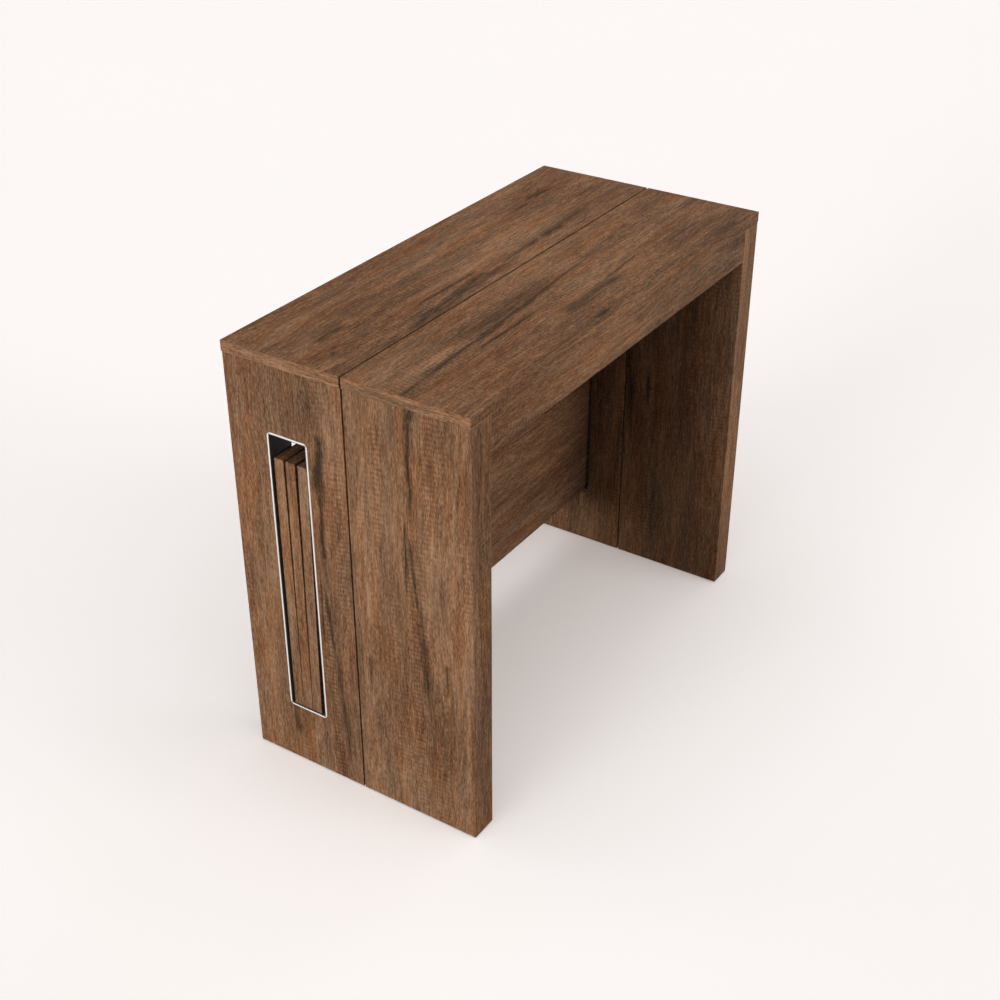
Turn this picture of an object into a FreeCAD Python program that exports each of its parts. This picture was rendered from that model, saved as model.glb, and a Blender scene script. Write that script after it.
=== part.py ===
"""Extending console table: two U-shaped frames, telescopic rails under the tops and three stored leaves.

Millimetres. +X runs along the table, +Y to the back, +Z up. The origin is on the floor, at the middle of
the closed table. The front frame pulls away towards -Y, and the leaves draw out of the ends along X.
"""
import FreeCAD, Part
import math
import os

import Sketcher

Vector = FreeCAD.Vector

SIZES = (
    # Overall
    ("table_width", 900.0),
    ("table_depth", 440.0),
    ("table_height", 756.0),
    ("board_thickness", 18.0),
    ("leg_thickness", 48.0),
    ("end_overhang", 2.0),
    ("seam_gap", 3.0),
    ("apron_height", 59.0),
    ("edge_easing", 0.4),
    # Leaves and the slots they stand in
    ("leaf_width", 465.0),
    ("leaf_end_setback", 1.0),
    ("leaf_rest_clearance", 0.2),
    ("leaf_corner_clearance", 0.4),
    ("leaf_head_clearance", 1.5),
    ("middle_leaf_gap", 0.5),
    ("front_leaf_gap", 0.8),
    ("front_leaf_room", 9.1),
    ("middle_leaf_lean_share", 0.45),
    ("hand_room", 40.0),
    ("slot_floor_height", 117.0),
    ("slot_back_distance", 78.1),
    ("sleeve_wall", 2.0),
    ("sleeve_corner_radius", 4.0),
    ("sleeve_fit", 0.1),
    ("sleeve_lip_width", 1.6),
    ("sleeve_lip_thickness", 1.0),
    # Locating pins
    ("pin_diameter", 8.0),
    ("pin_length", 28.0),
    ("pin_reach", 9.0),
    ("pin_spread", 680.0),
    ("socket_clearance", 0.6),
    # Frame joints
    ("dowel_diameter", 8.0),
    ("dowel_length", 34.0),
    ("dowel_seat", 11.0),
    ("dowel_edge_inset", 32.0),
    ("apron_dowel_inset", 14.0),
    ("joint_fit", 0.1),
    ("cam_diameter", 15.0),
    ("cam_thickness", 13.0),
    ("cam_drop", 34.0),
    ("cam_edge_inset", 60.0),
    ("cam_slot_length", 10.0),
    ("cam_slot_width", 2.0),
    ("cam_slot_depth", 2.5),
    ("bolt_diameter", 6.0),
    ("bolt_seat", 11.0),
    # Glides and bumpers
    ("glide_diameter", 24.0),
    ("glide_thickness", 2.0),
    ("glide_pin_diameter", 4.0),
    ("glide_pin_length", 18.0),
    ("glide_inset", 30.0),
    ("bumper_diameter", 10.0),
    ("bumper_clearance", 0.2),
    ("bumper_end_inset", 60.0),
    # Telescopic rails
    ("rail_height", 40.0),
    ("rail_wall", 3.0),
    ("groove_depth", 5.0),
    ("groove_lip", 2.0),
    ("groove_height", 24.0),
    ("groove_mouth", 14.0),
    ("rail_gap", 1.0),
    ("rail_top_clearance", 0.4),
    ("rail_end_clearance", 4.0),
    ("rail_set_inset", 60.0),
    ("slider_clearance", 0.25),
    ("boss_diameter", 6.0),
    ("boss_inset", 14.0),
    ("stop_length", 8.0),
    ("stop_clearance", 0.5),
    # Rail brackets and screws
    ("bracket_thickness", 2.5),
    ("bracket_flange", 25.0),
    ("bracket_drop", 28.0),
    ("bracket_seam_inset", 18.0),
    ("bracket_apron_gap", 10.0),
    ("screw_diameter", 4.0),
    ("screw_head_diameter", 8.0),
    ("screw_head_thickness", 2.4),
    ("wood_screw_length", 14.0),
    ("bracket_screw_inset", 20.0),
)

RAIL_COUNT = 6
LEAF_COUNT = 3
LEFT, RIGHT = -1, 1
SIDE_NAMES = {LEFT: "left", RIGHT: "right"}
REAR, FRONT = "rear", "front"

document = FreeCAD.newDocument("console_table")
sheet = document.addObject("Spreadsheet::Sheet", "dims")
for row, (alias, number) in enumerate(SIZES, start=1):
    sheet.set(f"A{row}", str(number))
    sheet.setAlias(f"A{row}", alias)
document.recompute()

sub_parts = []


class Size:
    """A length that carries its number and the sheet expression it comes from."""

    def __init__(self, text, number):
        self.text = text
        self.number = number

    @staticmethod
    def of(value):
        return value if isinstance(value, Size) else Size(repr(float(value)), float(value))

    def __add__(self, other):
        other = Size.of(other)
        return Size(f"({self.text} + {other.text})", self.number + other.number)

    def __sub__(self, other):
        other = Size.of(other)
        return Size(f"({self.text} - {other.text})", self.number - other.number)

    def __mul__(self, other):
        other = Size.of(other)
        return Size(f"({self.text} * {other.text})", self.number * other.number)

    def __truediv__(self, other):
        other = Size.of(other)
        return Size(f"({self.text} / {other.text})", self.number / other.number)

    def __neg__(self):
        return Size(f"(0 - {self.text})", -self.number)

    def __rsub__(self, other):
        return Size.of(other) - self

    __radd__ = __add__
    __rmul__ = __mul__


def size(alias):
    """The sheet's value under this alias."""
    return Size(f"dims.{alias}", float(sheet.get(alias)))


def arc_sine(ratio):
    """The angle in degrees whose sine is this ratio."""
    return Size(f"asin({ratio.text})", math.degrees(math.asin(ratio.number)))


ZERO = Size.of(0)

# Planes that the frames share
width, depth, height = size("table_width"), size("table_depth"), size("table_height")
board = size("board_thickness")
leg_thick = size("leg_thickness")
half_seam = size("seam_gap") / 2
easing = size("edge_easing")
glide_thick = size("glide_thickness")
leg_outer = width / 2 - size("end_overhang")
leg_inner = leg_outer - leg_thick
under_top = height - board
frame_depth = depth / 2 - half_seam
leg_height = under_top - glide_thick
apron_height = size("apron_height")
joint_fit = size("joint_fit")

# Slot through the rear legs
leaf_width = size("leaf_width")
leaf_length = 2 * (leg_outer - size("leaf_end_setback"))
leaf_rest = size("leaf_rest_clearance")
slot_radius = size("sleeve_corner_radius")
leaf_back_gap = slot_radius + size("leaf_corner_clearance")
slot_width = (LEAF_COUNT * board + leaf_back_gap + size("middle_leaf_gap") + size("front_leaf_gap")
              + size("front_leaf_room"))
slot_height = leaf_width + leaf_rest + size("hand_room")
slot_back = depth / 2 - size("slot_back_distance")
slot_front = slot_back - slot_width
slot_floor = size("slot_floor_height")
sleeve_wall, sleeve_fit = size("sleeve_wall"), size("sleeve_fit")

# Rails
rail_height = size("rail_height")
rail_wall, groove_depth, groove_lip = size("rail_wall"), size("groove_depth"), size("groove_lip")
groove_height, groove_mouth = size("groove_height"), size("groove_mouth")
rail_thick = rail_wall + groove_depth + groove_lip
rail_gap = size("rail_gap")
rail_pitch = rail_thick + rail_gap
rail_length = depth - 2 * (board + size("rail_end_clearance"))
rail_bottom = under_top - size("rail_top_clearance") - rail_height
rail_outer = leg_inner - size("rail_set_inset")
rail_mid = rail_height / 2
stage_travel = LEAF_COUNT * leaf_width / (RAIL_COUNT - 1)
slider_length = rail_length - stage_travel - size("stop_length") - size("stop_clearance")
slider_clear = size("slider_clearance")
boss_spots = (size("boss_inset"), slider_length - size("boss_inset"))

# Brackets and screws
bracket_thick, bracket_flange = size("bracket_thickness"), size("bracket_flange")
bracket_start = half_seam + size("bracket_seam_inset")
bracket_length = frame_depth + half_seam - board - size("bracket_apron_gap") - bracket_start
screw_radius = size("screw_diameter") / 2
screw_inset = size("bracket_screw_inset")
bracket_screw_spots = (screw_inset, bracket_length / 2, bracket_length - screw_inset)
rail_screw_spots = (2 * screw_inset, bracket_length - 2 * screw_inset)
wood_screw_length = size("wood_screw_length")

# Dowels, cams, glides and pins
dowel_radius, dowel_length, dowel_seat = size("dowel_diameter") / 2, size("dowel_length"), size("dowel_seat")
dowel_spots = (size("dowel_edge_inset"), frame_depth - size("dowel_edge_inset"))
apron_dowel_spots = (size("apron_dowel_inset"), apron_height - size("apron_dowel_inset"))
cam_radius, cam_thick, cam_drop = size("cam_diameter") / 2, size("cam_thickness"), size("cam_drop")
cam_spots = (size("cam_edge_inset"), frame_depth - size("cam_edge_inset"))
bolt_radius, bolt_seat = size("bolt_diameter") / 2, size("bolt_seat")
bolt_inset = cam_thick / 2
glide_spots = (size("glide_inset"), frame_depth - size("glide_inset"))
glide_pin_radius, glide_pin_length = size("glide_pin_diameter") / 2, size("glide_pin_length")
pin_radius, pin_length, pin_reach = size("pin_diameter") / 2, size("pin_length"), size("pin_reach")
pin_spots = (-size("pin_spread") / 2, ZERO, size("pin_spread") / 2)
socket_radius = pin_radius + size("socket_clearance")
socket_depth = pin_reach + size("socket_clearance")


def bind(item, name, value):
    """Tie a property to the sheet."""
    item.setExpression(name, Size.of(value).text)


def place(item, x=ZERO, y=ZERO, z=ZERO, axis=None, angle=None):
    """Put an object at (x, y, z), turned by angle degrees about axis."""
    if axis is not None:
        item.Placement = FreeCAD.Placement(Vector(), FreeCAD.Rotation(axis, Size.of(angle).number))
        if isinstance(angle, Size):
            bind(item, "Placement.Rotation.Angle", angle)
    for name, value in (("x", x), ("y", y), ("z", z)):
        bind(item, f"Placement.Base.{name}", value)


def sub_part(item, name):
    """Name an object as a piece of the table."""
    item.Label = name
    sub_parts.append(item)
    return item


def group(name, items):
    """Several identical pieces as one named piece."""
    compound = document.addObject("Part::Compound", name)
    compound.Links = items
    return sub_part(compound, name)


def new_body(name):
    return document.addObject("PartDesign::Body", name)


# Each side: the origin plane, the sign of its offset, and whether a cut runs along the plane's normal
SIDES = {
    "top": ("XY_Plane", 1, False),
    "bottom": ("XY_Plane", 1, True),
    "right": ("YZ_Plane", 1, False),
    "left": ("YZ_Plane", 1, True),
    "back": ("XZ_Plane", -1, True),
    "front": ("XZ_Plane", -1, False),
}


def new_sketch(body, side, level=ZERO):
    """An empty sketch parallel to one of the body's sides, at this level."""
    role, sign, _ = SIDES[side]
    sketch = body.newObject("Sketcher::SketchObject", "Sketch")
    plane = next(item for item in body.Origin.OriginFeatures if item.Role == role)
    sketch.AttachmentSupport = [(plane, "")]
    sketch.MapMode = "FlatFace"
    bind(sketch, "AttachmentOffset.Base.z", sign * Size.of(level))
    return sketch


def dimension(sketch, kind, geometry, vertex, value):
    """A bound X or Y distance from the sketch's origin to a point."""
    value = Size.of(value)
    index = sketch.addConstraint(Sketcher.Constraint(kind, -1, 1, geometry, vertex, value.number))
    bind(sketch, f"Constraints[{index}]", value)


def draw_polygon(sketch, points):
    """A closed outline through the points."""
    points = [(Size.of(u), Size.of(v)) for u, v in points]
    spots = [Vector(u.number, v.number, 0) for u, v in points]
    first = sketch.GeometryCount
    count = len(spots)
    for index in range(count):
        sketch.addGeometry(Part.LineSegment(spots[index], spots[(index + 1) % count]), False)
    for index in range(count):
        following = first + (index + 1) % count
        sketch.addConstraint(Sketcher.Constraint("Coincident", first + index, 2, following, 1))
    for index, (u, v) in enumerate(points):
        dimension(sketch, "DistanceX", first + index, 1, u)
        dimension(sketch, "DistanceY", first + index, 1, v)


def draw_rectangle(sketch, low_u, low_v, high_u, high_v):
    draw_polygon(sketch, ((low_u, low_v), (high_u, low_v), (high_u, high_v), (low_u, high_v)))


def draw_circle(sketch, u, v, radius):
    u, v, radius = Size.of(u), Size.of(v), Size.of(radius)
    circle = Part.Circle(Vector(u.number, v.number, 0), Vector(0, 0, 1), radius.number)
    index = sketch.addGeometry(circle, False)
    dimension(sketch, "DistanceX", index, 3, u)
    dimension(sketch, "DistanceY", index, 3, v)
    constraint = sketch.addConstraint(Sketcher.Constraint("Radius", index, radius.number))
    bind(sketch, f"Constraints[{constraint}]", radius)


def draw_rounded_rectangle(sketch, low_u, low_v, high_u, high_v, radius):
    """A rectangle whose corners are arcs, joined by tangent lines."""
    centres = (
        (low_u + radius, low_v + radius, 180),
        (high_u - radius, low_v + radius, 270),
        (high_u - radius, high_v - radius, 0),
        (low_u + radius, high_v - radius, 90),
    )
    arcs = []
    ends = []
    for u, v, start in centres:
        circle = Part.Circle(Vector(u.number, v.number, 0), Vector(0, 0, 1), radius.number)
        begin, finish = math.radians(start), math.radians(start + 90)
        arcs.append(sketch.addGeometry(Part.ArcOfCircle(circle, begin, finish), False))
        ends.append((circle.value(begin), circle.value(finish)))
    for index in range(4):
        following = (index + 1) % 4
        line = sketch.addGeometry(Part.LineSegment(ends[index][1], ends[following][0]), False)
        sketch.addConstraint(Sketcher.Constraint("Tangent", arcs[index], 2, line, 1))
        sketch.addConstraint(Sketcher.Constraint("Tangent", line, 2, arcs[following], 1))
    for arc, (u, v, _) in zip(arcs, centres):
        dimension(sketch, "DistanceX", arc, 3, u)
        dimension(sketch, "DistanceY", arc, 3, v)
        constraint = sketch.addConstraint(Sketcher.Constraint("Radius", arc, radius.number))
        bind(sketch, f"Constraints[{constraint}]", radius)


def pad(body, sketch, length, backwards=False):
    """Raise a sketch by a length, along its normal or against it."""
    feature = body.newObject("PartDesign::Pad", "Pad")
    feature.Profile = sketch
    feature.Reversed = backwards
    bind(feature, "Length", length)
    document.recompute()
    return feature


def pocket(body, sketch, side, cut_depth):
    """Cut a sketch into the solid from one side, and make sure that it cut."""
    before = body.Shape.Volume
    feature = body.newObject("PartDesign::Pocket", "Pocket")
    feature.Profile = sketch
    feature.Reversed = SIDES[side][2]
    bind(feature, "Length", cut_depth)
    document.recompute()
    if body.Shape.Volume >= before:
        raise RuntimeError(f"{body.Label}: a cut from the {side} removed nothing")


def drill(body, side, level, spots, radius, hole_depth):
    """Round holes from one side, each at (u, v) on that side."""
    sketch = new_sketch(body, side, level)
    for u, v in spots:
        draw_circle(sketch, u, v, radius)
    pocket(body, sketch, side, hole_depth)


def ease_edges(body):
    """A small chamfer on a board's long straight edges."""
    base = body.Tip
    named = [f"Edge{index}" for index in range(1, len(base.Shape.Edges) + 1)]
    chamfer = body.newObject("PartDesign::Chamfer", "Chamfer")
    chamfer.Base = (base, named)
    bind(chamfer, "Size", easing)
    document.recompute()


def new_board(name, size_x, size_y, size_z):
    """A board with eased edges, from its own corner."""
    body = new_body(name)
    sketch = new_sketch(body, "top")
    draw_rectangle(sketch, ZERO, ZERO, size_x, size_y)
    pad(body, sketch, size_z)
    ease_edges(body)
    return body


def revolve(name, points):
    """A turned piece about its own Z axis, from (radius, level) points."""
    body = new_body(name)
    sketch = new_sketch(body, "front")
    draw_polygon(sketch, points)
    feature = body.newObject("PartDesign::Revolution", "Revolution")
    feature.Profile = sketch
    feature.ReferenceAxis = (sketch, ["V_Axis"])
    feature.Angle = 360
    document.recompute()
    return body


def cylinder(name, radius, length, x, y, z, axis=None, angle=None):
    """A plain round pin."""
    item = document.addObject("Part::Cylinder", name)
    bind(item, "Radius", radius)
    bind(item, "Height", length)
    place(item, x, y, z, axis, angle)
    return item


X_AXIS, Y_AXIS, QUARTER = Vector(1, 0, 0), Vector(0, 1, 0), 90


def mirrored(side, distance):
    """A distance from the middle of the table, on one side of it."""
    return distance if side == RIGHT else -distance


def frame_start(frame):
    """Where the frame starts along Y."""
    return half_seam if frame == REAR else -(depth / 2)


def bracket_position(frame):
    """Where the frame's rail brackets start along Y."""
    return bracket_start if frame == REAR else -(bracket_start + bracket_length)


def bracket_face(frame):
    """The rail face, measured from the middle, that the frame's brackets are screwed to."""
    return rail_outer if frame == REAR else rail_outer - (RAIL_COUNT - 1) * rail_pitch - rail_thick


def bracket_screw_line(frame):
    """The line of wood screws, measured from the middle of the table."""
    reach = bracket_thick + bracket_flange / 2
    return bracket_face(frame) + reach if frame == REAR else bracket_face(frame) - reach


def top_board(frame):
    """A top, with the holes for its dowels, bolts, bracket screws and pins."""
    body = new_board(f"{frame}_top", width, frame_depth, board)
    to_bracket = bracket_position(frame) - frame_start(frame)
    dowel_holes, bolt_holes, screw_holes = [], [], []
    for side in (LEFT, RIGHT):
        for spot in dowel_spots:
            dowel_holes.append((width / 2 + mirrored(side, leg_inner + leg_thick / 2), spot))
        for spot in cam_spots:
            bolt_holes.append((width / 2 + mirrored(side, leg_inner + bolt_inset), spot))
        for spot in bracket_screw_spots:
            screw_holes.append((width / 2 + mirrored(side, bracket_screw_line(frame)), spot + to_bracket))
    drill(body, "bottom", ZERO, dowel_holes, dowel_radius + joint_fit, dowel_seat + joint_fit)
    drill(body, "bottom", ZERO, bolt_holes, bolt_radius + joint_fit, bolt_seat + joint_fit)
    drill(body, "bottom", ZERO, screw_holes, screw_radius + joint_fit, wood_screw_length)
    pin_line = [(width / 2 + spot, board / 2) for spot in pin_spots]
    if frame == REAR:
        drill(body, "front", ZERO, pin_line, socket_radius, socket_depth + half_seam)
    else:
        seat = pin_length - pin_reach
        drill(body, "back", frame_depth, pin_line, pin_radius + joint_fit, seat + joint_fit)
    place(body, -(width / 2), frame_start(frame), under_top)
    return sub_part(body, f"{frame}_top")


def leg(frame, side):
    """A panel leg, with the holes for its dowels, cams and glides, and the leaves' slot in a rear one."""
    name = f"{frame}_{SIDE_NAMES[side]}_leg"
    body = new_board(name, leg_thick, frame_depth, leg_height)
    inner_side = "right" if side == LEFT else "left"
    inner_level = leg_thick if side == LEFT else ZERO

    def from_inside(distance):
        return leg_thick - distance if side == LEFT else distance

    middle = leg_thick / 2
    dowel_depth = dowel_length - dowel_seat + joint_fit
    drill(body, "top", leg_height, [(middle, spot) for spot in dowel_spots],
          dowel_radius + joint_fit, dowel_depth)
    drill(body, "top", leg_height, [(from_inside(bolt_inset), spot) for spot in cam_spots],
          bolt_radius + joint_fit, cam_drop)
    drill(body, "bottom", ZERO, [(middle, spot) for spot in glide_spots],
          glide_pin_radius + joint_fit, glide_pin_length + joint_fit)
    drill(body, inner_side, inner_level, [(spot, leg_height - cam_drop) for spot in cam_spots],
          cam_radius + joint_fit, cam_thick + joint_fit)
    apron_middle = frame_depth - board / 2 if frame == REAR else board / 2
    drill(body, inner_side, inner_level,
          [(apron_middle, leg_height - apron_height + spot) for spot in apron_dowel_spots],
          dowel_radius + joint_fit, dowel_seat + joint_fit)
    if frame == REAR:
        room = sleeve_wall + sleeve_fit
        sketch = new_sketch(body, inner_side, inner_level)
        draw_rounded_rectangle(sketch, slot_front - half_seam - room, slot_floor - glide_thick - room,
                               slot_back - half_seam + room, slot_floor - glide_thick + slot_height + room,
                               slot_radius + room)
        pocket(body, sketch, inner_side, leg_thick)
    place(body, leg_inner if side == RIGHT else -leg_outer, frame_start(frame), glide_thick)
    return sub_part(body, name)


def apron(frame):
    """The board that closes the frame under its top, between the legs."""
    name = f"{frame}_apron"
    length = 2 * leg_inner
    body = new_board(name, length, board, apron_height)
    spots = [(board / 2, spot) for spot in apron_dowel_spots]
    hole_depth = dowel_length - dowel_seat + joint_fit
    drill(body, "left", ZERO, spots, dowel_radius + joint_fit, hole_depth)
    drill(body, "right", length, spots, dowel_radius + joint_fit, hole_depth)
    start = frame_start(frame) + frame_depth - board if frame == REAR else frame_start(frame)
    place(body, -leg_inner, start, under_top - apron_height)
    return sub_part(body, name)


def frame_dowels(frame):
    """Dowels between the top and the legs, and between the legs and the apron."""
    items = []
    start = frame_start(frame)
    apron_line = start + (frame_depth - board / 2 if frame == REAR else board / 2)
    for side in (LEFT, RIGHT):
        for spot in dowel_spots:
            x = mirrored(side, leg_inner + leg_thick / 2)
            z = under_top + dowel_seat - dowel_length
            items.append(cylinder("dowel", dowel_radius, dowel_length, x, start + spot, z))
        for spot in apron_dowel_spots:
            low = leg_inner + dowel_seat - dowel_length if side == RIGHT else -(leg_inner + dowel_seat)
            z = under_top - apron_height + spot
            items.append(cylinder("dowel", dowel_radius, dowel_length, low, apron_line, z, Y_AXIS, QUARTER))
    return group(f"{frame}_dowels", items)


def cam_disc(side):
    """A cam from its face inwards, with its screwdriver slot and the hole that takes the bolt."""
    body = new_body("cam")
    inward = side == RIGHT
    face = new_sketch(body, "right")
    draw_circle(face, ZERO, ZERO, cam_radius)
    pad(body, face, cam_thick, backwards=not inward)
    slot = new_sketch(body, "right")
    half_slot = size("cam_slot_width") / 2
    reach = size("cam_slot_length") / 2
    draw_rectangle(slot, -reach, -half_slot, reach, half_slot)
    pocket(body, slot, "left" if inward else "right", size("cam_slot_depth"))
    bolt_line = bolt_inset if inward else -bolt_inset
    drill(body, "top", cam_radius, [(bolt_line, ZERO)], bolt_radius + joint_fit, cam_radius)
    return body


def cam_fittings(frame):
    """Cams in the legs' inner faces, and the bolts that they draw down from the top."""
    items = []
    for side in (LEFT, RIGHT):
        for spot in cam_spots:
            y = frame_start(frame) + spot
            disc = cam_disc(side)
            place(disc, mirrored(side, leg_inner), y, under_top - cam_drop)
            items.append(disc)
            x = mirrored(side, leg_inner + bolt_inset)
            low = under_top - cam_drop + joint_fit
            items.append(cylinder("bolt", bolt_radius, cam_drop + bolt_seat - joint_fit, x, y, low))
    return group(f"{frame}_cam_fittings", items)


def glides(frame):
    """Nail-in glides under the legs."""
    radius = size("glide_diameter") / 2
    rim = glide_thick / 2
    top = glide_thick + glide_pin_length
    outline = ((ZERO, ZERO), (radius - rim, ZERO), (radius, rim), (radius, glide_thick),
               (glide_pin_radius, glide_thick), (glide_pin_radius, top), (ZERO, top))
    items = []
    for side in (LEFT, RIGHT):
        for spot in glide_spots:
            item = revolve("glide", outline)
            place(item, mirrored(side, leg_inner + leg_thick / 2), frame_start(frame) + spot, ZERO)
            items.append(item)
    return group(f"{frame}_glides", items)


def seam_bumpers():
    """Clear bumpers on the rear legs that keep the seam open."""
    inset = size("bumper_end_inset")
    levels = (glide_thick + inset, under_top - inset)
    items = []
    for side in (LEFT, RIGHT):
        for level in levels:
            x = mirrored(side, leg_inner + leg_thick / 2)
            thickness = 2 * half_seam - size("bumper_clearance")
            radius = size("bumper_diameter") / 2
            items.append(cylinder("bumper", radius, thickness, x, half_seam, level, X_AXIS, QUARTER))
    return group("seam_bumpers", items)


def slot_sleeve(side):
    """The trim that lines a leaf slot, with its lip on the leg's outer face."""
    name = f"{SIDE_NAMES[side]}_slot_sleeve"
    body = new_body(name)
    outward = side == RIGHT

    def ring(growth):
        sketch = new_sketch(body, "right")
        for room in (growth, ZERO):
            draw_rounded_rectangle(sketch, slot_front - room, slot_floor - room, slot_back + room,
                                   slot_floor + slot_height + room, slot_radius + room)
        return sketch

    pad(body, ring(sleeve_wall), leg_thick, backwards=outward)
    lip = ring(sleeve_wall + size("sleeve_lip_width"))
    pad(body, lip, size("sleeve_lip_thickness"), backwards=not outward)
    place(body, mirrored(side, leg_outer))
    return sub_part(body, name)


def rail_name(side, number):
    return f"{SIDE_NAMES[side]}_rail_{number}"


def rail_face(number):
    """The outer face of a rail, measured from the middle of the table."""
    return rail_outer - (number - 1) * rail_pitch


def inward_points(side, points):
    """Points given inwards from a rail's outer face, for one side of the table."""
    return [(-mirrored(side, Size.of(u)), v) for u, v in points]


def rail_sketch(body, side, points):
    sketch = new_sketch(body, "front")
    draw_polygon(sketch, inward_points(side, points))
    return sketch


def t_outline(clearance, reach):
    """The section of what runs in a groove: its head inside, its neck out to reach."""
    head = (groove_height / 2) - clearance
    neck = (groove_mouth / 2) - clearance
    back = rail_wall + clearance
    shoulder = rail_wall + groove_depth - clearance
    return ((back, rail_mid - head), (shoulder, rail_mid - head), (shoulder, rail_mid - neck),
            (reach, rail_mid - neck), (reach, rail_mid + neck), (shoulder, rail_mid + neck),
            (shoulder, rail_mid + head), (back, rail_mid + head))


def rail(side, number):
    """One extruded rail: a T groove on its inner face, and seats for what is fixed to its outer face."""
    name = rail_name(side, number)
    body = new_body(name)
    if number < RAIL_COUNT:
        low_mouth, high_mouth = rail_mid - groove_mouth / 2, rail_mid + groove_mouth / 2
        low_groove, high_groove = rail_mid - groove_height / 2, rail_mid + groove_height / 2
        lip = rail_wall + groove_depth
        outline = ((ZERO, ZERO), (rail_thick, ZERO), (rail_thick, low_mouth), (lip, low_mouth),
                   (lip, low_groove), (rail_wall, low_groove), (rail_wall, high_groove), (lip, high_groove),
                   (lip, high_mouth), (rail_thick, high_mouth), (rail_thick, rail_height),
                   (ZERO, rail_height))
    else:
        outline = ((ZERO, ZERO), (rail_thick, ZERO), (rail_thick, rail_height), (ZERO, rail_height))
    pad(body, rail_sketch(body, side, outline), rail_length, backwards=True)
    outer_side = "left" if side == LEFT else "right"
    if number > 1:
        start = rail_length - slider_length
        spots = [(start + spot, rail_mid) for spot in boss_spots]
        drill(body, outer_side, ZERO, spots, size("boss_diameter") / 2 + joint_fit, rail_wall)
    if number in (1, RAIL_COUNT):
        frame = REAR if number == 1 else FRONT
        inner_side = "right" if side == LEFT else "left"
        start = bracket_position(frame) + rail_length / 2
        spots = [(start + spot, rail_mid) for spot in rail_screw_spots]
        if frame == REAR:
            drill(body, outer_side, ZERO, spots, screw_radius + joint_fit, rail_wall)
        else:
            level = -mirrored(side, rail_thick)
            drill(body, inner_side, level, spots, screw_radius + joint_fit, rail_wall)
    place(body, mirrored(side, rail_face(number)), -(rail_length / 2), rail_bottom)
    return body


def slider(side, number):
    """The nylon slider at the back of a rail, which runs in the groove of the rail outside it."""
    body = new_body("slider")
    reach = rail_thick + rail_gap
    pad(body, rail_sketch(body, side, t_outline(slider_clear, reach)), slider_length, backwards=True)
    bosses = new_sketch(body, "right", -mirrored(side, reach))
    for spot in boss_spots:
        draw_circle(bosses, spot, rail_mid, size("boss_diameter") / 2)
    pad(body, bosses, rail_wall - joint_fit, backwards=side == RIGHT)
    place(body, mirrored(side, rail_face(number - 1)), rail_length / 2 - slider_length, rail_bottom)
    return body


def stop(side, number):
    """The plug in the front end of a rail's groove, which stops the slider."""
    body = new_body("stop")
    pad(body, rail_sketch(body, side, t_outline(joint_fit, rail_thick)), size("stop_length"), backwards=True)
    place(body, mirrored(side, rail_face(number)), -(rail_length / 2), rail_bottom)
    return body


def bracket(frame, side):
    """The angle that hangs a frame's rail under its top."""
    body = new_body("bracket")
    away = 1 if frame == REAR else -1
    drop = size("bracket_drop")
    reach = bracket_thick + bracket_flange
    outline = ((ZERO, -drop), (ZERO, ZERO), (reach, ZERO), (reach, -bracket_thick),
               (bracket_thick, -bracket_thick), (bracket_thick, -drop))
    sketch = new_sketch(body, "front")
    draw_polygon(sketch, [(mirrored(side, away * u), v) for u, v in outline])
    pad(body, sketch, bracket_length, backwards=True)
    screw_line = mirrored(side, away * (bracket_thick + bracket_flange / 2))
    drill(body, "bottom", -bracket_thick, [(screw_line, spot) for spot in bracket_screw_spots],
          screw_radius + joint_fit, bracket_thick)
    rail_line = rail_bottom + rail_mid - under_top
    outward = (side == RIGHT) == (frame == REAR)
    drill(body, "left" if outward else "right", ZERO, [(spot, rail_line) for spot in rail_screw_spots],
          screw_radius + joint_fit, bracket_thick)
    place(body, mirrored(side, bracket_face(frame)), bracket_position(frame), under_top)
    return body


def screw(shank):
    """A pan-head screw: its head starts at zero and its shank goes up."""
    head_radius, head_thick = size("screw_head_diameter") / 2, size("screw_head_thickness")
    crown = head_thick / 2
    outline = ((ZERO, ZERO), (head_radius - crown, ZERO), (head_radius, crown), (head_radius, head_thick),
               (screw_radius, head_thick), (screw_radius, head_thick + shank), (ZERO, head_thick + shank))
    return revolve("screw", outline)


def bracket_screws(frame):
    """Wood screws up into the top, and short screws into the rail's wall."""
    items = []
    start = bracket_position(frame)
    head_thick = size("screw_head_thickness")
    for side in (LEFT, RIGHT):
        for spot in bracket_screw_spots:
            item = screw(wood_screw_length + bracket_thick - joint_fit)
            z = under_top - bracket_thick - head_thick
            place(item, mirrored(side, bracket_screw_line(frame)), start + spot, z)
            items.append(item)
        outward = (side == RIGHT) == (frame == REAR)
        head_face = bracket_thick + head_thick
        x = bracket_face(frame) + head_face if frame == REAR else bracket_face(frame) - head_face
        for spot in rail_screw_spots:
            item = screw(bracket_thick + rail_wall - joint_fit)
            turn = -QUARTER if outward else QUARTER
            place(item, mirrored(side, x), start + spot, rail_bottom + rail_mid, Y_AXIS, turn)
            items.append(item)
    return group(f"{frame}_rail_screws", items)


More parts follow.
